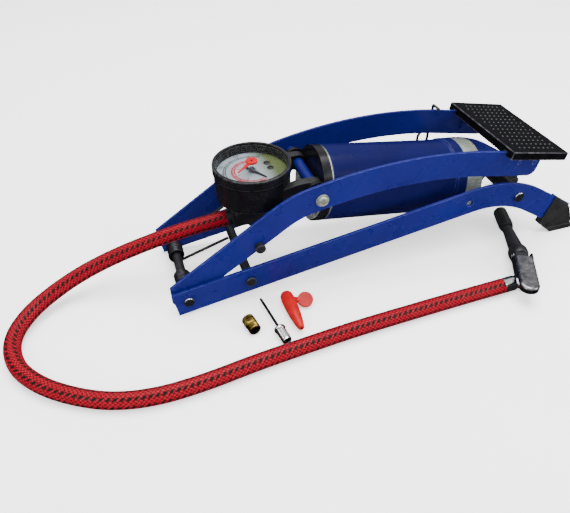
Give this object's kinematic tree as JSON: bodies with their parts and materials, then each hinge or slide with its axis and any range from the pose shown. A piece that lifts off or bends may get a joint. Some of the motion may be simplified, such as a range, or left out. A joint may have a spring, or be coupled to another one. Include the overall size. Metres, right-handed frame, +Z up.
{
  "type": "foot pump",
  "caption": "Foot-operated tyre pump with a strip-steel frame, pedal, air cylinder, dial gauge, braided hose with a lever tyre connector and loose valve adapters.",
  "frame": {"origin": "on the floor under the middle of the box round the pump and its loose adapters, the hose and its connector left out", "axes": "+X from the hinge end towards the pedal and the rubber feet, +Y away from the hose and the adapters, +Z up"},
  "size_m": [0.416, 0.1419, 0.0865],
  "materials": {
    "blue_paint": "gloss paint",
    "black_paint": "satin paint",
    "zinc": "bright zinc plate",
    "steel": "plain",
    "chrome": "polished",
    "brass": "turned",
    "black_plastic": "fine moulded grain",
    "gloss_black": "gloss",
    "rubber": "matt",
    "red_plastic": "satin",
    "dial_face": "printed dial",
    "lens": "clear",
    "braid": "woven braid",
    "spring_steel": "black oxide"
  },
  "bodies": {
    "base": {"base_rail_near": "blue_paint", "base_rail_far": "blue_paint", "hinge_shaft": "chrome", "hinge_tube": "black_paint", "torsion_spring": "spring_steel", "base_cross_rod": "black_paint", "rear_bolt": "chrome", "rear_spacer_tube": "black_paint", "foot_near": "rubber", "foot_far": "rubber", "latch_staple": "steel", "hose": "braid", "hose_ferrule": "chrome", "connector_body": "black_plastic", "connector_collar": "black_plastic", "nozzle_cone": "black_plastic", "nozzle_sleeve": "black_plastic", "valve_seal": "rubber", "lever_pin": "steel"},
    "pedal_frame": {"pedal_arm_near": "blue_paint", "pedal_arm_far": "blue_paint", "pedal_plate": "zinc", "pedal_tread": "black_plastic", "pedal_bracket": "blue_paint", "pedal_rivets": "blue_paint", "stop_studs": "black_paint", "spring_arm_legs": "spring_steel", "pivot_tube": "blue_paint", "pivot_screws": "zinc", "pivot_washers": "zinc", "manifold": "black_plastic", "gauge_bracket": "black_plastic", "gauge_case": "gloss_black", "gauge_bezel": "gloss_black", "gauge_lens": "lens", "gauge_dial": "dial_face", "gauge_movement": "brass", "bourdon_tube": "brass"},
    "cylinder": {"head_cap": "gloss_black", "head_plate": "zinc", "head_gasket": "rubber", "outlet_valve": "rubber", "cylinder_tube": "zinc", "barrel_shell": "blue_paint", "rear_cap": "zinc"},
    "piston": {"piston": "steel", "piston_cup": "rubber", "piston_nut": "steel", "piston_rod": "steel", "rod_end": "steel"},
    "latch": {"latch_hook": "steel"},
    "needle": {"gauge_needle": "black_paint"},
    "marker": {"gauge_marker": "red_plastic"},
    "lever": {"chuck_lever": "chrome"},
    "valve_adapter": {"brass_adapter": "brass"},
    "needle_adapter": {"ball_needle": "spring_steel", "needle_hub": "chrome"},
    "nozzle_adapter": {"cone_nozzle": "red_plastic"}
  },
  "joints": [
    {"name": "pedal_hinge", "type": "hinge", "parent": "base", "child": "pedal_frame", "pos_m": [-0.145, 0.0214, 0.0112], "axis": [0, -1, 0], "range_deg": [0, 30], "deforming": ["hose"]},
    {"name": "cylinder_swing", "type": "hinge", "parent": "pedal_frame", "child": "cylinder", "pos_m": [-0.0539, 0.0214, 0.0693], "axis": [0, -1, 0], "range_deg": [-39.2, 0]},
    {"name": "piston_slide", "type": "slide", "parent": "cylinder", "child": "piston", "axis": [0.9904, 0, -0.1382], "range_m": [0, 0.05]},
    {"name": "latch_swing", "type": "hinge", "parent": "base", "child": "latch", "pos_m": [0.0564, 0.0584, 0.0435], "axis": [-1, 0, 0], "range_deg": [0, 181]},
    {"name": "needle_turn", "type": "hinge", "parent": "pedal_frame", "child": "needle", "pos_m": [-0.0899, 0.0214, 0.0789], "axis": [0, 0, -1], "range_deg": [0, 240]},
    {"name": "marker_turn", "type": "hinge", "parent": "pedal_frame", "child": "marker", "pos_m": [-0.0899, 0.0214, 0.0853], "axis": [0, 0, -1], "range_deg": [-120, 120]},
    {"name": "lever_lift", "type": "hinge", "parent": "base", "child": "lever", "pos_m": [0.08607, -0.04538, 0.0114], "axis": [-0.88, 0.475, 0], "range_deg": [0, 90]},
    {"name": "valve_adapter_lift", "type": "slide", "parent": "base", "child": "valve_adapter", "axis": [0, 0, 1], "range_m": [0, 0.05]},
    {"name": "needle_adapter_lift", "type": "slide", "parent": "base", "child": "needle_adapter", "axis": [0, 0, 1], "range_m": [0, 0.05]},
    {"name": "nozzle_adapter_lift", "type": "slide", "parent": "base", "child": "nozzle_adapter", "axis": [0, 0, 1], "range_m": [0, 0.05]}
  ],
  "couplings": [
    {"joint": "cylinder_swing", "follows": "pedal_hinge", "ratio": -1.3003},
    {"joint": "piston_slide", "follows": "pedal_hinge", "m_per_rad": 0.09512},
    {"joint": "latch_swing", "follows": "pedal_hinge", "ratio": 6}
  ]
}
